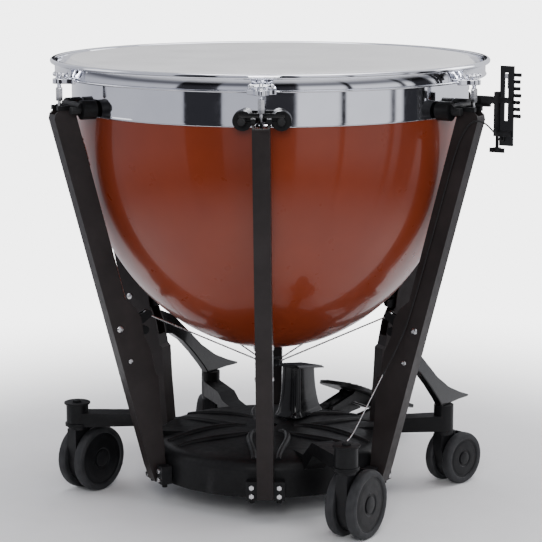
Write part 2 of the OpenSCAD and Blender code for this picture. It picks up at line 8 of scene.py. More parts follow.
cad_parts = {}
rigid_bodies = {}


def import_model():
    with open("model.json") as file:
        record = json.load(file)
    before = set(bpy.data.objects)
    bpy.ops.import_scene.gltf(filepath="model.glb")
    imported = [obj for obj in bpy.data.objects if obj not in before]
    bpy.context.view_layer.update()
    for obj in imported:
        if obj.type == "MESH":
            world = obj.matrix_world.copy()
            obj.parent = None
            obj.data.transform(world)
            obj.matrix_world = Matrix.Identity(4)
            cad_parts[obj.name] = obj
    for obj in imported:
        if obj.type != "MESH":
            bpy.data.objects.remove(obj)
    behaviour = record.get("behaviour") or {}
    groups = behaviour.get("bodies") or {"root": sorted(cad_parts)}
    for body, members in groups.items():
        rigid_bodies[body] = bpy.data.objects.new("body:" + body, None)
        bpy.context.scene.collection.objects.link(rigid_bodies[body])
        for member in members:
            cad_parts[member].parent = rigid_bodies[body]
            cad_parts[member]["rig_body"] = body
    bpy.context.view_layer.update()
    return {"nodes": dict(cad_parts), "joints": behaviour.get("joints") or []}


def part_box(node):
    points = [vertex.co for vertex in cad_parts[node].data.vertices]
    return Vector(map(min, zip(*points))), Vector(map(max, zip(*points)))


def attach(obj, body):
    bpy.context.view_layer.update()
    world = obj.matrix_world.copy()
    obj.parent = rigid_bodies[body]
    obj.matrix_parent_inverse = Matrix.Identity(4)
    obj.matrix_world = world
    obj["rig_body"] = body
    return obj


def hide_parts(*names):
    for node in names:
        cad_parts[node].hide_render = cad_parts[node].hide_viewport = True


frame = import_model()

MM = 0.001
TURN = 2 * math.pi
IDENTITY = Matrix.Identity(4)
STRUTS = range(1, 7)
CASTERS = ("front_left", "front_right", "rear_left", "rear_right")

# Driving sizes, read from the frame
BOWL_LOW, BOWL_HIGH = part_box("bowl")
BAND_LOW, BAND_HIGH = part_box("chrome_band")
HEAD_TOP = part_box("head")[1].z
HOOP_LOW, HOOP_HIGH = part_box("counterhoop")
PLATE_LOW, PLATE_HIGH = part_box("gauge_plate")
SCREW_LOW, SCREW_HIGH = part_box("tension_screw_1")
BOWL_R = BOWL_HIGH.x
HOOP_R = HOOP_HIGH.x
SCREW_R = (SCREW_LOW.x + SCREW_HIGH.x) / 2
JOINTS = {joint["name"]: joint for joint in frame["joints"]}

# Sides of the bowl and the chrome rings, and of the plainer rings
SHINY_SIDES = 256
RING_SIDES = 200


# ---- Camera, light and floor ----

def build_camera():
    """The photographer's view: from the front right, a little above the head."""
    data = bpy.data.cameras.new("camera")
    camera = bpy.data.objects.new("camera", data)
    bpy.context.collection.objects.link(camera)
    target = Vector((0.005, -0.005, 0.425))
    azimuth, elevation, distance = math.radians(32), math.radians(10.3), 3.9
    back = Vector((math.sin(azimuth) * math.cos(elevation),
                   -math.cos(azimuth) * math.cos(elevation), math.sin(elevation)))
    camera.location = target + distance * back
    camera.rotation_euler = back.to_track_quat("Z", "Y").to_euler()
    data.lens = 137
    data.clip_end = 60
    bpy.context.scene.camera = camera


def add_area(name, place, size, power):
    """A soft rectangular light that faces the middle of the drum."""
    data = bpy.data.lights.new(name, "AREA")
    data.shape = "RECTANGLE"
    data.size, data.size_y = size
    data.energy = power
    light = bpy.data.objects.new(name, data)
    bpy.context.collection.objects.link(light)
    light.location = place
    middle = Vector((0, 0, 0.45))
    aim = Vector(place) - middle
    light.rotation_euler = aim.to_track_quat("Z", "Y").to_euler()


def build_world():
    """Plain pale surroundings, and for reflections white walls with dark gaps, dimmer on the left."""
    world = bpy.data.worlds.new("studio")
    world.use_nodes = True
    bpy.context.scene.world = world
    nodes, links = world.node_tree.nodes, world.node_tree.links
    nodes.clear()
    place = nodes.new("ShaderNodeTexCoord")
    split = nodes.new("ShaderNodeSeparateXYZ")
    links.new(place.outputs["Generated"], split.inputs[0])
    angle = nodes.new("ShaderNodeMath")
    angle.operation = "ARCTAN2"
    links.new(split.outputs["Y"], angle.inputs[0])
    links.new(split.outputs["X"], angle.inputs[1])
    unit = nodes.new("ShaderNodeMapRange")
    unit.inputs["From Min"].default_value = -math.pi
    unit.inputs["From Max"].default_value = math.pi
    links.new(angle.outputs[0], unit.inputs["Value"])
    walls = nodes.new("ShaderNodeValToRGB")
    dim, white, dark = (0.58, 0.59, 0.65, 1), (0.93, 0.94, 1, 1), (0.03, 0.03, 0.035, 1)
    # Where the dim walls end and where the gaps lie, as shares of a turn from -X
    dim_end = 0.35
    gaps = ((0.203, 0.262), (0.330, 0.378), (0.452, 0.457), (0.541, 0.546), (0.565, 0.60),
            (0.83, 0.86))
    blur = 0.004
    stops = walls.color_ramp.elements
    stops[0].position, stops[0].color = 0.0, dim
    stops[1].position, stops[1].color = 1.0, dim
    for start, end in gaps:
        before = dim if start < dim_end else white
        after = dim if end < dim_end else white
        for position, colour in ((start - blur, before), (start, dark),
                                 (end, dark), (end + blur, after)):
            stops.new(position).color = colour
    links.new(unit.outputs[0], walls.inputs[0])
    # Heights where the ground ends and the walls are at full strength, from 0 below to 1 above
    ground_end, wall_start = 0.28, 0.37
    rise = nodes.new("ShaderNodeValToRGB")
    rise.color_ramp.elements[0].position = ground_end
    rise.color_ramp.elements[0].color = (0.22, 0.22, 0.23, 1)
    rise.color_ramp.elements[1].position = wall_start
    rise.color_ramp.elements[1].color = (1, 1, 1, 1)
    height = nodes.new("ShaderNodeMapRange")
    height.inputs["From Min"].default_value = -1
    links.new(split.outputs["Z"], height.inputs["Value"])
    links.new(height.outputs[0], rise.inputs[0])
    product = nodes.new("ShaderNodeMix")
    product.data_type = "RGBA"
    product.blend_type = "MULTIPLY"
    product.inputs["Factor"].default_value = 1
    links.new(walls.outputs[0], product.inputs["A"])
    links.new(rise.outputs[0], product.inputs["B"])
    studio = nodes.new("ShaderNodeBackground")
    studio.inputs["Strength"].default_value = 1.0
    links.new(product.outputs["Result"], studio.inputs["Color"])
    plain = nodes.new("ShaderNodeBackground")
    plain.inputs["Color"].default_value = (0.93, 0.93, 0.93, 1)
    plain.inputs["Strength"].default_value = 5.0
    seen = nodes.new("ShaderNodeLightPath")
    choose = nodes.new("ShaderNodeMixShader")
    out = nodes.new("ShaderNodeOutputWorld")
    links.new(seen.outputs["Is Camera Ray"], choose.inputs[0])
    links.new(studio.outputs[0], choose.inputs[1])
    links.new(plain.outputs[0], choose.inputs[2])
    links.new(choose.outputs[0], out.inputs["Surface"])


def build_floor():
    """A pale round floor that fades into the surroundings away from the drum."""
    reach, sides = 3.0, 64
    fade_start, fade_end = 0.65, 1.8
    bm = bmesh.new()
    bm.faces.new([bm.verts.new(polar(reach, TURN * k / sides)) for k in range(sides)])
    mesh = bpy.data.meshes.new("floor")
    bm.to_mesh(mesh)
    bm.free()
    floor = bpy.data.objects.new("floor", mesh)
    bpy.context.collection.objects.link(floor)
    tones = [(0, (0.93, 0.93, 0.93)), (1, (0.95, 0.95, 0.95))]
    paper = surface("floor_paper", tones, 0.7, specular=0.2)
    nodes, links = paper.node_tree.nodes, paper.node_tree.links
    place = nodes.new("ShaderNodeTexCoord")
    length = nodes.new("ShaderNodeVectorMath")
    length.operation = "LENGTH"
    links.new(place.outputs["Object"], length.inputs[0])
    fade = nodes.new("ShaderNodeMapRange")
    fade.interpolation_type = "SMOOTHSTEP"
    fade.inputs["From Min"].default_value = fade_start
    fade.inputs["From Max"].default_value = fade_end
    links.new(length.outputs["Value"], fade.inputs["Value"])
    clear = nodes.new("ShaderNodeBsdfTransparent")
    blend = nodes.new("ShaderNodeMixShader")
    links.new(fade.outputs[0], blend.inputs[0])
    links.new(nodes["Principled BSDF"].outputs[0], blend.inputs[1])
    links.new(clear.outputs[0], blend.inputs[2])
    links.new(blend.outputs[0], nodes["Material Output"].inputs["Surface"])
    mesh.materials.append(paper)


# ---- Materials ----

# Most of a noise texture's values lie in this range
NOISE_LOW, NOISE_SPAN = 0.3, 0.4


def surface(name, colours, rough, metallic=0.0, coat=0.0, coat_rough=0.04, scale=18.0,
            stretch=(1, 1, 1), rough_spread=0.06, rough_scale=90.0, grain=0.0, grain_scale=900.0,
            wave=0.0, wave_scale=30.0, wear=None, specular=0.5):
    """A paint, metal or plastic: mottled colour, uneven gloss, fine grain, slow waves and worn edges.

    colours holds pairs of a share of the noise and a colour; wear is the colour of worn edges.
    """
    material = bpy.data.materials.new(name)
    material.use_nodes = True
    nodes, links = material.node_tree.nodes, material.node_tree.links
    shader = nodes["Principled BSDF"]
    shader.inputs["Metallic"].default_value = metallic
    shader.inputs["Coat Weight"].default_value = coat
    shader.inputs["Coat Roughness"].default_value = coat_rough
    shader.inputs["Specular IOR Level"].default_value = specular
    place = nodes.new("ShaderNodeTexCoord")
    mapping = nodes.new("ShaderNodeMapping")
    mapping.inputs["Scale"].default_value = stretch
    links.new(place.outputs["Object"], mapping.inputs["Vector"])

    def noise(size, detail):
        """The value of a noise texture that sticks to the object."""
        node = nodes.new("ShaderNodeTexNoise")
        node.inputs["Scale"].default_value = size
        node.inputs["Detail"].default_value = detail
        links.new(mapping.outputs[0], node.inputs["Vector"])
        return node.outputs["Fac"]

    ramp = nodes.new("ShaderNodeValToRGB")
    stops = ramp.color_ramp.elements
    for stop, (position, colour) in zip(stops, (colours[0], colours[-1])):
        stop.position = NOISE_LOW + NOISE_SPAN * position
        stop.color = (*colour, 1)
    for position, colour in colours[1:-1]:
        stops.new(NOISE_LOW + NOISE_SPAN * position).color = (*colour, 1)
    links.new(noise(scale, 4), ramp.inputs[0])
    colour_out = ramp.outputs[0]
    if wear:
        # Pointiness at which wear starts and is full, and the most that it covers
        wear_start, wear_full, most = 0.515, 0.62, 0.75
        edges = nodes.new("ShaderNodeNewGeometry")
        reach = nodes.new("ShaderNodeMapRange")
        reach.inputs["From Min"].default_value = wear_start
        reach.inputs["From Max"].default_value = wear_full
        reach.inputs["To Max"].default_value = most
        links.new(edges.outputs["Pointiness"], reach.inputs["Value"])
        patch = nodes.new("ShaderNodeMath")
        patch.operation = "MULTIPLY"
        links.new(reach.outputs[0], patch.inputs[0])
        links.new(noise(scale * 7, 3), patch.inputs[1])
        worn = nodes.new("ShaderNodeMix")
        worn.data_type = "RGBA"
        links.new(patch.outputs[0], worn.inputs["Factor"])
        links.new(colour_out, worn.inputs["A"])
        worn.inputs["B"].default_value = (*wear, 1)
        colour_out = worn.outputs["Result"]
    links.new(colour_out, shader.inputs["Base Color"])
    gloss = nodes.new("ShaderNodeMapRange")
    gloss.inputs["From Min"].default_value = NOISE_LOW
    gloss.inputs["From Max"].default_value = NOISE_LOW + NOISE_SPAN
    gloss.inputs["To Min"].default_value = max(0.02, rough - rough_spread)
    gloss.inputs["To Max"].default_value = rough + rough_spread
    links.new(noise(rough_scale, 5), gloss.inputs["Value"])
    links.new(gloss.outputs[0], shader.inputs["Roughness"])
    normal = None
    wave_height, grain_height = 0.004, 0.0004
    for strength, size, distance in ((wave, wave_scale, wave_height),
                                     (grain, grain_scale, grain_height)):
        if strength:
            bump = nodes.new("ShaderNodeBump")
            bump.inputs["Strength"].default_value = strength
            bump.inputs["Distance"].default_value = distance
            links.new(noise(size, 3), bump.inputs["Height"])
            if normal:
                links.new(normal, bump.inputs["Normal"])
            normal = bump.outputs[0]
    if normal:
        links.new(normal, shader.inputs["Normal"])
    return material


M = {
    "bowl": surface(
        "bowl_gelcoat",
        [(0, (0.205, 0.030, 0.0105)), (0.5, (0.235, 0.036, 0.0125)), (1, (0.265, 0.044, 0.016))],
        0.30, coat=0.5, coat_rough=0.03, scale=5, wave=0.02, wave_scale=9, specular=0.22,
        rough_spread=0.03, rough_scale=30),
    "film": surface(
        "head_film",
        [(0, (0.82, 0.812, 0.808)), (0.5, (0.84, 0.832, 0.828)), (1, (0.86, 0.852, 0.848))],
        0.40, scale=4, rough_spread=0.05, rough_scale=14, grain=0.12, grain_scale=1500),
    "chrome": surface(
        "chrome_plate", [(0, (0.80, 0.81, 0.86)), (1, (0.89, 0.90, 0.95))],
        0.06, metallic=1.0, scale=9, rough_spread=0.03, rough_scale=60, wave=0.006, wave_scale=14),
    "aluminium": surface(
        "satin_aluminium", [(0, (0.60, 0.61, 0.63)), (1, (0.74, 0.75, 0.77))],
        0.32, metallic=1.0, stretch=(1, 1, 14), rough_scale=160, grain=0.1, grain_scale=600),
    "steel": surface(
        "zinc_steel",
        [(0, (0.50, 0.50, 0.51)), (0.6, (0.64, 0.64, 0.65)), (1, (0.72, 0.71, 0.70))],
        0.26, metallic=1.0, scale=60, rough_spread=0.1, rough_scale=220, grain=0.12,
        grain_scale=1400),
    "strut": surface(
        "strut_enamel",
        [(0, (0.0135, 0.0100, 0.0097)), (0.6, (0.0190, 0.0145, 0.0140)),
         (1, (0.0250, 0.0195, 0.0190))],
        0.38, coat=0.06, coat_rough=0.2, scale=14, rough_spread=0.07, grain=0.10, grain_scale=420,
        wear=(0.05, 0.045, 0.045), specular=0.2),
    "casting": surface(
        "casting_enamel", [(0, (0.0035, 0.0035, 0.0040)), (1, (0.0080, 0.0080, 0.0085))],
        0.42, coat=0.03, coat_rough=0.22, scale=22, rough_spread=0.06, grain=0.08, grain_scale=330,
        wave=0.02, wave_scale=20, wear=(0.045, 0.045, 0.047), specular=0.14),
    "gloss": surface(
        "gloss_enamel", [(0, (0.0028, 0.0028, 0.0032)), (1, (0.0050, 0.0050, 0.0056))],
        0.18, coat=0.25, coat_rough=0.04, scale=20, rough_spread=0.05, wave=0.04, wave_scale=22,
        wear=(0.03, 0.03, 0.032), specular=0.2),
    "rubber": surface(
        "pedal_rubber", [(0, (0.0060, 0.0060, 0.0064)), (1, (0.0125, 0.0125, 0.0130))],
        0.60, scale=45, rough_spread=0.12, grain=0.25, grain_scale=700, wear=(0.03, 0.03, 0.03),
        specular=0.35),
    "nylon": surface(
        "moulded_nylon", [(0, (0.0045, 0.0045, 0.0052)), (1, (0.0090, 0.0090, 0.0100))],
        0.42, scale=30, rough_spread=0.08, grain=0.2, grain_scale=800, wear=(0.028, 0.028, 0.03),
        specular=0.22),
    "tread": surface(
        "wheel_tread",
        [(0, (0.0150, 0.0155, 0.0170)), (0.5, (0.0215, 0.0220, 0.0240)),
         (1, (0.0300, 0.0300, 0.0320))],
        0.64, scale=70, rough_spread=0.12, rough_scale=140, grain=0.25, grain_scale=600,
        specular=0.35),
    "spring": surface(
        "spring_wire", [(0, (0.05, 0.05, 0.055)), (1, (0.12, 0.12, 0.125))],
        0.35, metallic=0.9, scale=90, grain=0.2, grain_scale=1500),
    "marks": surface(
        "note_tab_ivory", [(0, (0.48, 0.46, 0.40)), (1, (0.60, 0.58, 0.52))],
        0.5, scale=80, grain=0.2, grain_scale=1600),
}


# ---- Mesh helpers ----

def polar(radius, angle, z=0.0):
    """The point at a radius and an angle about Z."""
    return Vector((radius * math.cos(angle), radius * math.sin(angle), z))


def strut_matrix(i):
    """Turns what is drawn on the first strut, which lies on +X, to strut i."""
    return Matrix.Rotation(math.radians(60 * (i - 1)), 4, "Z")


def rounded(outline, radius, steps=4):
    """The closed outline with each corner cut back and rounded."""
    points = [Vector(p) for p in outline]
    out = []
    for k, corner in enumerate(points):
        back, ahead = points[k - 1] - corner, points[(k + 1) % len(points)] - corner
        reach_a = min(radius, 0.45 * back.length)
        reach_b = min(radius, 0.45 * ahead.length)
        start = corner + reach_a * back.normalized()
        end = corner + reach_b * ahead.normalized()
        for j in range(steps + 1):
            t = j / steps
            out.append((1 - t) ** 2 * start + 2 * t * (1 - t) * corner + t * t * end)
    return out


def arc(centre, radius, start, end, steps):
    """Points on an arc between two angles in degrees."""
    return [(centre[0] + radius * math.cos(math.radians(start + (end - start) * k / steps)),
             centre[1] + radius * math.sin(math.radians(start + (end - start) * k / steps)))
            for k in range(steps + 1)]


def smooth_path(points, steps):
    """Catmull-Rom curve through the points, with so many steps between neighbours."""
    p = [Vector(q) for q in points]
    p = [2 * p[0] - p[1]] + p + [2 * p[-1] - p[-2]]
    out = []
    for k in range(1, len(p) - 2):
        for j in range(steps):
            t = j / steps
            a, b, c, d = p[k - 1], p[k], p[k + 1], p[k + 2]
            out.append(0.5 * (2 * b + (c - a) * t + (2 * a - 5 * b + 4 * c - d) * t * t
                              + (3 * b - a - 3 * c + d) * t ** 3))
    return out + [p[-2]]


def add_lathe(bm, profile, segments=96, matrix=IDENTITY):
    """Turns a closed profile of radius and height about the matrix's Z axis."""
    rings = []
    for k in range(segments):
        turn = matrix @ Matrix.Rotation(TURN * k / segments, 4, "Z")
        rings.append([bm.verts.new(turn @ Vector((max(r, 0), 0, z))) for r, z in profile])
    for k, a in enumerate(rings):
        b = rings[(k + 1) % segments]
        for j in range(len(profile)):
            n = (j + 1) % len(profile)
            bm.faces.new((a[j], b[j], b[n], a[n]))


def add_prism(bm, outline, half, matrix=IDENTITY):
    """A plate of the outline, drawn in the matrix's X and Z, reaching half each way along Y."""
    near, far = [[bm.verts.new(matrix @ Vector((p[0], s * half, p[1]))) for p in outline]
                 for s in (-1, 1)]
    bm.faces.new(near)
    bm.faces.new(list(reversed(far)))
    for j in range(len(outline)):
        n = (j + 1) % len(outline)
        bm.faces.new((near[j], far[j], far[n], near[n]))


def add_sweep(bm, path, radius, sides=14, matrix=IDENTITY):
    """A round tube along a path, closed at both ends; radius is one number or one for each point."""
    points = [Vector(p) for p in path]
    first = (points[1] - points[0]).normalized()
    normal = first.orthogonal()
    rings = []
    for k, point in enumerate(points):
        tangent = (points[min(k + 1, len(points) - 1)] - points[max(k - 1, 0)]).normalized()
        normal = (normal - tangent * normal.dot(tangent)).normalized()
        side = tangent.cross(normal)
        r = radius[k] if isinstance(radius, list) else radius
        rings.append([bm.verts.new(matrix @ (point + r * (math.cos(TURN * j / sides) * normal
                                                          + math.sin(TURN * j / sides) * side)))
                      for j in range(sides)])
    for a, b in zip(rings, rings[1:]):
        for j in range(sides):
            n = (j + 1) % sides
            bm.faces.new((a[j], a[n], b[n], b[j]))
    bm.faces.new(list(reversed(rings[0])))
    bm.faces.new(rings[-1])


def add_loft(bm, sections):
    """A closed skin through equal-length rings of points."""
    rings = [[bm.verts.new(p) for p in ring] for ring in sections]
    for a, b in zip(rings, rings[1:]):
        for j in range(len(a)):
            n = (j + 1) % len(a)
            bm.faces.new((a[j], a[n], b[n], b[j]))
    bm.faces.new(list(reversed(rings[0])))
    bm.faces.new(rings[-1])


def add_disc(bm, radius, z0, z1, edge, matrix=IDENTITY, segments=40):
    """A round plate between two heights, with rounded rims."""
    corners = rounded([(0, z0), (radius, z0), (radius, z1), (0, z1)], edge)
    rim = [p for p in corners if p[0] > 0.3 * radius]
    add_lathe(bm, [(0, z0)] + rim + [(0, z1)], segments, matrix)


def place_piece(name, bm, material, body, replaced=(), bevel=0.0, sharp=40):
    """Makes a piece of the mesh.

    Its edges are rounded by bevel or else kept sharp above an angle of sharp degrees.
    """
    bmesh.ops.remove_doubles(bm, verts=bm.verts, dist=2e-6)
    bmesh.ops.dissolve_degenerate(bm, edges=bm.edges, dist=1e-7)
    bmesh.ops.recalc_face_normals(bm, faces=bm.faces)
    mesh = bpy.data.meshes.new(name)
    bm.to_mesh(mesh)
    bm.free()
    piece = bpy.data.objects.new(name, mesh)
    bpy.context.collection.objects.link(piece)
    mesh.shade_smooth()
    if bevel:
        cut = piece.modifiers.new("edges", "BEVEL")
        cut.width = bevel
        cut.segments = 3
        cut.limit_method = "ANGLE"
        cut.angle_limit = math.radians(32)
        cut.use_clamp_overlap = True
        weigh = piece.modifiers.new("normals", "WEIGHTED_NORMAL")
        weigh.weight = 80
        weigh.keep_sharp = True
    else:
        mesh.set_sharp_from_angle(angle=math.radians(sharp))
    mesh.materials.append(M[material])
    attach(piece, body)
    if replaced:
        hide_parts(*replaced)


def body_of(node):
    """The body that a CAD node rides on."""
    return frame["nodes"][node]["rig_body"]


def refined(node, material, bevel):
    """The CAD node's own shape as a new piece, with its flat faces joined and its edges rounded."""
    bm = bmesh.new()
    bm.from_mesh(frame["nodes"][node].data)
    bmesh.ops.remove_doubles(bm, verts=bm.verts, dist=3e-6)
    bmesh.ops.dissolve_degenerate(bm, edges=bm.edges, dist=1e-6)
    bmesh.ops.dissolve_limit(bm, angle_limit=math.radians(0.6), verts=bm.verts, edges=bm.edges)
    place_piece(f"{node}_finished", bm, material, body_of(node), [node], bevel)


# ---- Bowl and head ----

def build_bowl():
    """A half ellipsoid with a straight wall, a vent hole and a thick inner skin."""
    wall = 5 * MM
    straight = 82 * MM
    vent = 12 * MM
    steps = 72
    dome_top = BOWL_HIGH.z - straight
    depth = dome_top - BOWL_LOW.z

    def skin(a, b):
        """Radius and height of points on a quarter ellipse, from the vent up to the straight wall."""
        start = math.asin(vent / a)
        angles = [start + (math.pi / 2 - start) * k / steps for k in range(steps + 1)]
        return [(a * math.sin(angle), dome_top - b * math.cos(angle)) for angle in angles]

    outer = skin(BOWL_R, depth)
    inner = skin(BOWL_R - wall, depth - wall)
    lip = [(BOWL_R, BOWL_HIGH.z), (BOWL_R - wall, BOWL_HIGH.z)]
    bm = bmesh.new()
    add_lathe(bm, outer + lip + inner[::-1], SHINY_SIDES)
    place_piece("bowl_shell", bm, "bowl", "root", ["bowl"])

    bm = bmesh.new()
    low = BOWL_LOW.z
    grommet = [(vent - 3 * MM, low - 1 * MM), (vent + 5 * MM, low - 1 * MM),
               (vent + 5 * MM, low + 0.6 * MM), (vent - 1 * MM, low + 6 * MM),
               (vent - 3 * MM, low + 6 * MM)]
    add_lathe(bm, rounded(grommet, 1 * MM), 48)
    place_piece("vent_grommet", bm, "rubber", "root")


def build_rings():
    """Bearing edge, chrome band, film head, flesh hoop and the rolled counterhoop."""
    edge_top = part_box("bearing_edge")[1].z
    low = BOWL_HIGH.z
    edge = [(BOWL_R - 7 * MM, low), (BOWL_R + 2.5 * MM, low),
            (BOWL_R + 2.5 * MM, edge_top - 1 * MM), (BOWL_R - 1 * MM, edge_top),
            (BOWL_R - 5 * MM, edge_top - 1 * MM), (BOWL_R - 7 * MM, low + 4 * MM)]
    bm = bmesh.new()
    add_lathe(bm, rounded(edge, 2.2 * MM), RING_SIDES)
    place_piece("bearing_edge_turned", bm, "aluminium", "root", ["bearing_edge"])

    inner, outer = BOWL_R + 0.2 * MM, BAND_HIGH.x
    band = [(inner, BAND_LOW.z), (outer - 0.4 * MM, BAND_LOW.z), (outer, BAND_LOW.z + 3 * MM),
            (outer - 0.5 * MM, BAND_LOW.z + 5 * MM), (outer - 0.5 * MM, BAND_HIGH.z - 4 * MM),
            (outer, BAND_HIGH.z - 2 * MM), (inner, BAND_HIGH.z)]
    bm = bmesh.new()
    add_lathe(bm, rounded(band, 1.2 * MM), SHINY_SIDES)
    place_piece("chrome_band_rolled", bm, "chrome", "root", ["chrome_band"])

    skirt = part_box("head")[1].x
    top, thick = HEAD_TOP, 0.6 * MM
    fold = [(BOWL_R - 40 * MM, top), (BOWL_R - 2 * MM, top), (BOWL_R + 3.4 * MM, top - 0.5 * MM),
            (BOWL_R + 7 * MM, top - 4.5 * MM), (skirt - 2.5 * MM, top - 16 * MM),
            (skirt, top - 21 * MM), (skirt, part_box("head")[0].z)]
    under = [(r - thick * 0.8, z - thick) for r, z in fold[:-1]] + [(skirt - thick, fold[-1][1])]
    flat = [(BOWL_R * k / 14, top) for k in range(13)]
    flat_under = [(r, top - thick) for r, _ in flat[::-1]]
    bm = bmesh.new()
    add_lathe(bm, flat + fold + under[::-1] + flat_under, RING_SIDES)
    place_piece("head_film", bm, "film", "root", ["head"])

    flesh_in = 390 * MM
    flesh_low, flesh_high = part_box("flesh_hoop")
    channel = [(flesh_in, flesh_low.z), (flesh_high.x, flesh_low.z),
               (flesh_high.x, flesh_high.z), (flesh_in, flesh_high.z)]
    bm = bmesh.new()
    add_lathe(bm, rounded(channel, 2.5 * MM), RING_SIDES)
    place_piece("flesh_hoop_channel", bm, "aluminium", "hoop", ["flesh_hoop"])

    wall_in, wall_out = 396.2 * MM, 399 * MM
    flange_in = 391 * MM
    roll_r = 4.5 * MM
    roll_x, roll_z = HOOP_R - roll_r, HOOP_HIGH.z - roll_r
    profile = [(wall_in, HOOP_LOW.z + 1 * MM), (wall_in, 807.9 * MM), (flange_in, 808.4 * MM),
               (flange_in, 811 * MM), (wall_in, 811.2 * MM), (wall_in, roll_z - 1 * MM),
               (wall_in + 0.4 * MM, roll_z + 1.4 * MM)]
    profile += arc((roll_x, roll_z), roll_r, 155, -125, 20)
    profile += [(wall_out, roll_z - 5 * MM), (wall_out, HOOP_LOW.z + 4.4 * MM)]
    profile += arc((wall_out, HOOP_LOW.z + 2 * MM), 2 * MM, 60, -90, 8)
    bm = bmesh.new()
    add_lathe(bm, profile, SHINY_SIDES)
    place_piece("counterhoop_rolled", bm, "chrome", "hoop", ["counterhoop"], sharp=50)


# ---- Tensioning ----

def build_lugs():
    """Six claws on the counterhoop, each with two ribs."""
    low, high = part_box("hoop_lugs")
    nose = high.x - SCREW_R
    back = HOOP_R - 6.2 * MM
    waist = SCREW_R - 7 * MM
    outline = [(back, -25 * MM), (back + 6 * MM, -25 * MM), (waist, -15 * MM)]
    outline += [(SCREW_R + nose * math.sin(a), -nose * math.cos(a))
                for a in [math.radians(15 + 15 * k) for k in range(11)]]
    outline += [(waist, 15 * MM), (back + 6 * MM, 25 * MM), (back, 25 * MM)]
    half = (high.z - low.z) / 2
    lay = Matrix.Translation((0, 0, low.z + half)) @ Matrix.Rotation(math.radians(-90), 4, "X")
    rib = [(back, 2 * MM), (SCREW_R - 10 * MM, 2 * MM), (back, 15 * MM)]
    rib_side = 9 * MM
    bm = bmesh.new()
    for i in STRUTS:
        add_prism(bm, [(x, -y) for x, y in outline], half - 0.4 * MM, strut_matrix(i) @ lay)
        for side in (-rib_side, rib_side):
            place = strut_matrix(i) @ Matrix.Translation((0, side, high.z - 3 * MM))
            add_prism(bm, rib, 1.6 * MM, place)
    place_piece("hoop_claws", bm, "chrome", "hoop", ["hoop_lugs"], bevel=1.3 * MM)


def build_screw(i):
    """T-handle with a hub, tapered arms and ball ends on a threaded shank."""
    handle = SCREW_HIGH.z - 4.6 * MM
    half = (SCREW_HIGH.y - SCREW_LOW.y) / 2
    spot = strut_matrix(i) @ Matrix.Translation((SCREW_R, 0, 0))
    ball = 4.4 * MM
    turns = [math.radians(a) for a in range(20, 140, 20)]
    arm = [(0, -half)] + [(ball * math.sin(a), -half + ball - ball * math.cos(a)) for a in turns]
    arm += [(2.6 * MM, -half + 10 * MM), (3.6 * MM, -5 * MM)]
    across = spot @ Matrix.Translation((0, 0, handle)) @ Matrix.Rotation(math.radians(90), 4, "X")
    bm = bmesh.new()
    add_lathe(bm, arm + [(r, -y) for r, y in arm[::-1]], 24, across)

    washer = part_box("hoop_lugs")[1].z
    hub = [(0, washer + 0.2 * MM), (7 * MM, washer + 0.2 * MM), (7 * MM, washer + 1.3 * MM),
           (5 * MM, washer + 2.2 * MM), (5.3 * MM, handle - 2 * MM), (4.6 * MM, handle + 4.2 * MM),
           (0, handle + 4.6 * MM)]
    add_lathe(bm, rounded(hub, 0.7 * MM), 32, spot)

    crest, root, pitch = 4 * MM, 3.3 * MM, 1.25 * MM
    thread = [(0, SCREW_LOW.z), (2.6 * MM, SCREW_LOW.z)]
    z = SCREW_LOW.z + 0.8 * MM
    while z < washer - 9.5 * MM:
        thread += [(crest, z), (root, z + pitch / 2)]
        z += pitch
    thread += [(crest, z), (crest, washer + 1 * MM), (0, washer + 1 * MM)]
    add_lathe(bm, thread, 24, spot)
    node = f"tension_screw_{i}"
    place_piece(f"t_handle_{i}", bm, "chrome", body_of(node), [node], sharp=28)


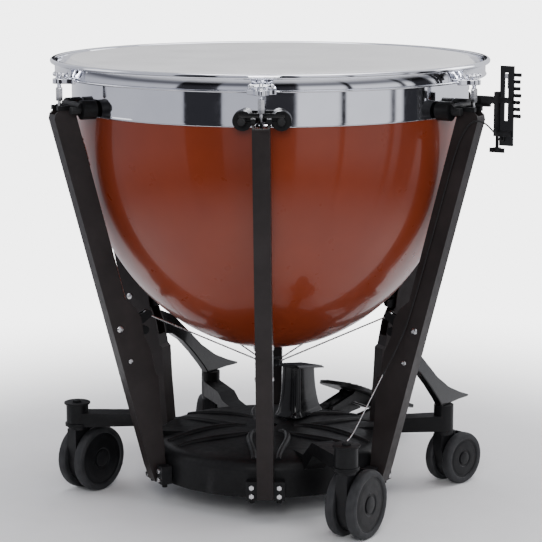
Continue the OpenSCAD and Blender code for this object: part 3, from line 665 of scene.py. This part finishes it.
def build_tension_rods():
    """Hexagon coupler, rod bent into the strut, turnbuckle and the eye on the crank's pin."""
    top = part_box("tension_rods")[1].z
    coupler_low = top - 24 * MM
    # A point on the strut's outer line, its slope and how far the rod stands inside it, in mm
    strut_x, strut_z, slope = 252, 48, 186 / 687
    inset = 44.5

    def line(z):
        """How far the rod is from the drum's axis at a height, on a line along the strut."""
        return (strut_x + slope * (z / MM - strut_z) - inset) * MM

    bend = [(SCREW_R, 0, coupler_low), (SCREW_R, 0, 757 * MM), (SCREW_R - 3 * MM, 0, 748 * MM),
            (SCREW_R - 10 * MM, 0, 738 * MM), (line(0.720) + 3 * MM, 0, 722 * MM),
            (line(0.706), 0, 706 * MM)]
    path = smooth_path(bend, 5) + [(line(0.353), 0, 353 * MM)]
    barrel_low = Vector((line(0.650), 0, 0.650))
    barrel_high = Vector((line(0.695), 0, 0.695))
    axis = (barrel_high - barrel_low).normalized()
    # Distance along the turnbuckle and its radius there, in mm
    barrel = [(-3, 4.4), (-2.6, 4.9), (1, 4.9), (2, 3.9), (7, 3.7), (9, 4.6), (37, 4.6),
              (39, 3.7), (44, 3.9), (45, 4.9), (48.6, 4.9), (49, 4.4)]
    barrel_path = [barrel_low + axis * s * MM for s, _ in barrel]
    barrel_radii = [r * MM for _, r in barrel]
    coupler = [(3.4 * MM, coupler_low), (5.4 * MM, coupler_low), (6.5 * MM, top - 22.6 * MM),
               (6.5 * MM, top - 1.4 * MM), (5.6 * MM, top), (4.1 * MM, top),
               (4.1 * MM, top - 18 * MM)]
    eye = rounded([(4.1 * MM, -2.4 * MM), (8.3 * MM, -2.4 * MM), (8.3 * MM, 2.4 * MM),
                   (4.1 * MM, 2.4 * MM)], 1 * MM)
    across = Matrix.Rotation(math.radians(90), 4, "X")
    bm = bmesh.new()
    for i in STRUTS:
        spot = strut_matrix(i)
        add_sweep(bm, path, 2.9 * MM, 16, spot)
        add_sweep(bm, barrel_path, barrel_radii, 6, spot)
        add_lathe(bm, coupler, 6, spot @ Matrix.Translation((SCREW_R, 0, 0)))
        add_lathe(bm, eye, 32, spot @ Matrix.Translation((line(0.345), 0, 345 * MM)) @ across)
    place_piece("tension_rod_set", bm, "steel", "hoop", ["tension_rods"], sharp=35)


# ---- Frame ----

def build_frame_finish():
    """CAD shapes that only need a finish and rounded edges, whose radius comes last, in mm."""
    for i in STRUTS:
        refined(f"strut_{i}", "strut", 1.6 * MM)
        refined(f"bell_crank_{i}", "casting", 0.6 * MM)
        refined(f"pull_rod_{i}", "steel", 0.25 * MM)
    for node, material, slot, bevel in (
            ("bowl_brackets", "casting", "black_casting", 1.4),
            ("strut_clamps", "casting", "black_casting", 1.6),
            ("frame_bolts", "steel", "steel_rods", 0.5),
            ("base_casting", "casting", "black_casting", 1.6),
            ("rear_wings", "gloss", "black_casting", 2.6),
            ("tower_lid", "gloss", "black_gloss", 1.2),
            ("pivot_pins", "steel", "steel_rods", 0.5),
            ("spider_hub", "casting", "black_casting", 0.5),
            ("master_rod", "steel", "steel_rods", 0.4),
            ("rocker_lever", "casting", "black_casting", 1.0),
            ("pedal_lever", "casting", "black_casting", 1.0),
            ("pedal_plate", "casting", "pedal_rubber", 1.6),
            ("gauge_bracket", "casting", "black_casting", 0.8),
            ("gauge_plate", "gloss", "black_casting", 0.5),
            ("gauge_pointer", "steel", "steel_rods", 0.25),
            ("gauge_knob", "nylon", "black_plastic", 0.8)):
        refined(node, material, bevel * MM)
    for c in CASTERS:
        refined(f"caster_fork_{c}", "nylon", 2.0 * MM)


def build_strut_caps():
    """Domed heads of the bell crank pivots and a small bolt below each, on both cheeks."""
    pivot = Vector(JOINTS["crank_1_hinge"]["pos_m"])
    face = 15 * MM
    buried, rim = -1 * MM, 0.6 * MM
    bm = bmesh.new()
    for i in STRUTS:
        for s in (-1, 1):
            for dx, dz, wide, tall in ((0, 0, 6.4, 3.2), (-20.6, -62, 4.6, 2.4)):
                place = Matrix.Translation((pivot.x + dx * MM, s * face, pivot.z + dz * MM))
                outward = Matrix.Rotation(math.radians(-90 * s), 4, "X")
                r, top = wide * MM, tall * MM
                socket = top - 1.2 * MM
                profile = [(0, buried), (r, buried), (r, rim)]
                profile += [(r * math.cos(a), rim + (top - rim) * math.sin(a))
                            for a in (math.radians(25), math.radians(50), math.radians(72))]
                profile += [(2 * MM, top), (1.8 * MM, socket), (0, socket)]
                add_lathe(bm, profile, 28, strut_matrix(i) @ place @ outward)
    place_piece("strut_bolt_heads", bm, "steel", "root", sharp=30)


def build_bracket_pads():
    """Rubber buttons between the brackets' lobes and the chrome band, and plugs in the lobes."""
    side, height = 33 * MM, 751 * MM
    outward = Matrix.Rotation(math.radians(90), 4, "Y")
    bm = bmesh.new()
    for i in STRUTS:
        for s in (-1, 1):
            place = Matrix.Translation((BAND_HIGH.x + 0.4 * MM, s * side, height))
            spot = strut_matrix(i) @ place @ outward
            add_disc(bm, 8.6 * MM, 0.2 * MM, 3.1 * MM, 0.8 * MM, spot)
            add_disc(bm, 7 * MM, 27 * MM, 46 * MM, 2 * MM, spot)
    place_piece("bracket_pads", bm, "rubber", "root")


def build_deck_ribs():
    """Curved raised ribs on the base's deck, two from the centre to each strut."""
    steps = 16
    shares = [k / steps for k in range(steps + 1)]
    radii = [(3.2 + 3.4 * math.sin(math.pi * (0.15 + 0.7 * t))) * MM for t in shares]
    bm = bmesh.new()
    for i in STRUTS:
        for s in (-1, 1):
            path = []
            for t in shares:
                radius = (46 + 160 * t) * MM
                swing = s * (0.50 * (1 - t) ** 1.6 + 0.11)
                deck = 121.6 - 1.4 * t - 8.8 * t ** 4
                path.append(polar(radius, swing, (deck + 1.2 * math.sin(math.pi * t)) * MM))
            add_sweep(bm, path, radii, 14, strut_matrix(i))
    place_piece("deck_ribs", bm, "casting", "root", sharp=60)


def build_socket_caps():
    """Flange, hexagon cap and lower collar of each front caster socket."""
    collar = rounded([(20 * MM, 131 * MM), (23.5 * MM, 131 * MM), (23.5 * MM, 137 * MM),
                      (20 * MM, 138 * MM)], 1 * MM)
    bm = bmesh.new()
    for side in ("left", "right"):
        x, y, _ = JOINTS[f"swivel_front_{side}"]["pos_m"]
        spot = Matrix.Translation((x, y, 0))
        add_disc(bm, 25 * MM, 173.4 * MM, 177 * MM, 1 * MM, spot, 56)
        add_disc(bm, 9 * MM, 176.6 * MM, 181 * MM, 1.4 * MM, spot, 6)
        add_lathe(bm, collar, 56, spot)
    place_piece("socket_caps", bm, "casting", "root", sharp=40)


def build_tower():
    """Tapered gloss housing with a flared skirt, rounded corners and a sloping top."""
    # Height, near side, far side, half width and corner, in mm
    rows = ((126, 54, 158, 29, 16), (129, 54, 158, 29, 16), (134, 58, 154, 25.5, 14.4),
            (142, 61, 150, 23.4, 12.8), (158, 64.5, 145.5, 22, 12.8), (176, 66.5, 142, 21, 12.8),
            (196, 68, 140.5, 20.2, 12.8), (212, 69, 139.5, 19.8, 12.8))
    sections = []
    for z, y0, y1, half, corner in rows:
        ring = rounded([(-half, y0), (half, y0), (half, y1), (-half, y1)], corner, 6)
        sections.append([(p[0] * MM, p[1] * MM, z * MM) for p in ring])
    low, near, far = rows[-1][:3]
    rise = 11
    top = [(x, y, (low + rise * (far * MM - y) / ((far - near) * MM)) * MM) for x, y, _ in sections[-1]]
    bm = bmesh.new()
    add_loft(bm, sections + [top])
    place_piece("tower_shell", bm, "gloss", "root", ["pedal_tower"], sharp=45)


def build_balance_coil():
    """The balance spring in the tower."""
    low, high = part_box("balance_spring")
    wire = 1.5 * MM
    ends = 1.6 * MM
    centre = Vector((0, 105 * MM, low.z + ends))
    climb = high.z - low.z - 2 * ends
    turns, steps = 13, 16
    count = turns * steps
    path = [centre + polar(10.4 * MM, TURN * k / steps, climb * k / count) for k in range(count + 1)]
    bm = bmesh.new()
    add_sweep(bm, path, wire, 8)
    place_piece("balance_coil", bm, "spring", "root", ["balance_spring"], sharp=60)


# ---- Pedal and gauge ----

def build_pedal_tread():
    """Ribbed rubber mat on the foot plate, drawn from the plate's round toe back to its heel."""
    toe_spot = Matrix.Translation((0, 235 * MM, 156.4 * MM))
    plate = toe_spot @ Matrix.Rotation(math.radians(-20.7), 4, "X")
    # Half width, and the ends of the toe's round and of the mat, in mm from the tip of the toe
    half, round_end, heel = 42, 50, 262
    outline = [(half * math.cos(math.radians(a)), round_end + half * math.sin(math.radians(a)))
               for a in range(180, 361, 12)] + [(half, heel), (-half, heel)]
    flat = plate @ Matrix.Translation((0, 0, 7.6 * MM)) @ Matrix.Rotation(math.radians(-90), 4, "X")
    bm = bmesh.new()
    add_prism(bm, [(x * MM, y * MM) for x, y in outline], 0.7 * MM, flat)
    rib_half = half - 5
    for k in range(15):
        y = 26 + 15.6 * k
        reach = rib_half if y > round_end else math.sqrt(max(0, rib_half ** 2 - (round_end - y) ** 2))
        rib = [(-reach * MM, -0.6 * MM), (reach * MM, -0.6 * MM), (reach * MM, 1.4 * MM),
               (-reach * MM, 1.4 * MM)]
        add_prism(bm, rib, 2.6 * MM, plate @ Matrix.Translation((0, y * MM, 8.5 * MM)))
    place_piece("pedal_mat", bm, "rubber", "pedal", bevel=0.6 * MM)


def build_gauge_details():
    """Note tabs with small screws, and scale ticks, on the gauge plate."""
    edge, face = PLATE_HIGH.x, PLATE_LOW.y + 4 * MM
    outward = Matrix.Rotation(math.radians(-90), 4, "X")
    bm = bmesh.new()
    for k in range(7):
        z = PLATE_LOW.z + (52.5 + 12 * k) * MM
        nose = edge + (5.6 if k % 3 else 7.4) * MM
        tab = [(edge - 9 * MM, z - 3 * MM), (nose, z - 3.4 * MM), (nose, z + 3.4 * MM),
               (edge - 9 * MM, z + 3 * MM)]
        add_prism(bm, rounded(tab, 2.2 * MM), 1.5 * MM, Matrix.Translation((0, face + 1.6 * MM, 0)))
        spot = Matrix.Translation((edge - 5 * MM, face + 3 * MM, z)) @ outward
        add_disc(bm, 2.6 * MM, 0, 3.4 * MM, 0.5 * MM, spot, 16)
    place_piece("note_tabs", bm, "nylon", "root", bevel=0.3 * MM)

    start, thick = PLATE_LOW.x + 1.2 * MM, 0.8 * MM
    bm = bmesh.new()
    for k in range(15):
        z = PLATE_LOW.z + (48 + 5.6 * k) * MM
        end = start + (2.4 if k % 2 else 4.2) * MM
        tick = [(start, z), (end, z), (end, z + thick), (start, z + thick)]
        add_prism(bm, tick, 0.15 * MM, Matrix.Translation((0, face + 0.05 * MM, 0)))
    place_piece("gauge_scale_ticks", bm, "marks", "root")


def build_cable():
    """Gauge cable on the CAD model's route: a bare steel core at the bottom, then a black sheath."""
    route = [(268, -188, 159.5), (270, -176, 168), (272, -156, 180), (275, -130, 206),
             (278, -90, 244), (280, -62, 270), (284, -40, 294), (292, -26, 322), (304, -20, 356),
             (320, -18.5, 408), (338, -18.5, 470), (358, -18.5, 540), (378, -18.5, 612),
             (398, -18.5, 680), (414, -18.5, 716), (432, -18, 734), (450, -14, 732),
             (464, -7, 718), (474, -1, 703), (479, 3, 701), (480, 3.5, 707.7)]
    bare_top = 0.268
    run = smooth_path([Vector(p) * MM for p in route], 4)
    sheath_start = next(k for k, point in enumerate(run) if point.z > bare_top)
    bm = bmesh.new()
    add_sweep(bm, run[:sheath_start + 2], 1.1 * MM, 10)
    place_piece("gauge_cable_core", bm, "steel", "root", ["gauge_cable"], sharp=60)
    bm = bmesh.new()
    add_sweep(bm, run[sheath_start:], 1.5 * MM, 10)
    start = run[sheath_start]
    turn = (run[sheath_start + 1] - start).to_track_quat("Z", "Y").to_matrix().to_4x4()
    add_disc(bm, 2.2 * MM, -1 * MM, 9 * MM, 0.6 * MM, Matrix.Translation(start) @ turn, 20)
    place_piece("gauge_cable_sheath", bm, "rubber", "root", sharp=60)


# ---- Casters ----

def build_wheels(c):
    """Two wheels, each a round-edged rubber tread on a dished black disc with a hub cap."""
    node = f"caster_wheels_{c}"
    joint = JOINTS[f"roll_{c}"]
    centre, axis = Vector(joint["pos_m"]), Vector(joint["axis"])
    r = centre.z
    inner, width, bore = 12 * MM, 19 * MM, 5.1 * MM
    outer = inner + width
    tread = rounded([(r - 13 * MM, inner + 0.4 * MM), (r - 3 * MM, inner), (r, inner + 3.4 * MM),
                     (r, outer - 6 * MM), (r - 2.4 * MM, outer - 1 * MM), (r - 9 * MM, outer),
                     (r - 13 * MM, outer - 1.5 * MM)], 2.6 * MM, 5)
    disc = [(bore, inner + 0.5 * MM), (r - 12.6 * MM, inner + 0.5 * MM),
            (r - 12.6 * MM, outer - 2.6 * MM), (r - 16 * MM, outer - 3.4 * MM),
            (0.62 * r, outer - 2.2 * MM), (0.34 * r, outer - 1.4 * MM),
            (0.30 * r, outer - 3.2 * MM), (bore, outer - 3.2 * MM)]
    cap = [(0, outer - 4 * MM), (0.24 * r, outer - 4 * MM), (0.24 * r, outer - 1.4 * MM),
           (0.20 * r, outer - 0.4 * MM), (0, outer)]
    shapes = ((f"wheel_tread_{c}", rounded(tread, 0.1 * MM, 1), "tread", "wheel_rubber"),
              (f"wheel_disc_{c}", rounded(disc, 0.9 * MM, 3), "nylon", "black_plastic"),
              (f"wheel_cap_{c}", cap, "nylon", "black_plastic"))
    for name, profile, material, slot in shapes:
        bm = bmesh.new()
        for s in (-1, 1):
            turn = (s * axis).to_track_quat("Z", "Y").to_matrix().to_4x4()
            add_lathe(bm, profile, 96, Matrix.Translation(centre) @ turn)
        replaced = [node] if material == "tread" else []
        place_piece(name, bm, material, body_of(node), replaced, sharp=34)


def build_brake(c):
    """Small brake pedal on each caster's hood."""
    fork = JOINTS[f"swivel_{c}"]
    wheel = JOINTS[f"roll_{c}"]
    centre, axis = Vector(wheel["pos_m"]), Vector(wheel["axis"])
    across = Vector(fork["pos_m"]) - centre
    across.z = 0
    ahead = -across.normalized()
    basis = Matrix((ahead, axis, Vector((0, 0, 1)))).transposed().to_4x4()
    r = centre.z
    outline = [(0.30 * r, 0.80 * r), (0.72 * r, 0.62 * r), (1.02 * r, 0.42 * r),
               (1.06 * r, 0.48 * r), (0.78 * r, 0.74 * r), (0.34 * r, 0.93 * r)]
    bm = bmesh.new()
    add_prism(bm, outline, 10 * MM, Matrix.Translation(centre) @ basis)
    body = body_of(f"caster_fork_{c}")
    place_piece(f"brake_pedal_{c}", bm, "nylon", body, bevel=1.4 * MM)


build_camera()
build_world()
build_floor()
add_area("key_window", (1.5, -2.7, 1.7), (0.8, 1.1), 32)
add_area("fill_left", (-3.0, -1.6, 1.8), (1.6, 2.2), 12)
add_area("top_soft", (0.2, 0.1, 3.4), (2.6, 2.6), 60)
add_area("rim_back", (1.8, 2.6, 1.8), (1.4, 1.8), 26)
build_bowl()
build_rings()
build_lugs()
for number in STRUTS:
    build_screw(number)
build_tension_rods()
build_frame_finish()
build_strut_caps()
build_bracket_pads()
build_deck_ribs()
build_socket_caps()
build_tower()
build_balance_coil()
build_pedal_tread()
build_gauge_details()
build_cable()
for caster in CASTERS:
    build_wheels(caster)
    build_brake(caster)
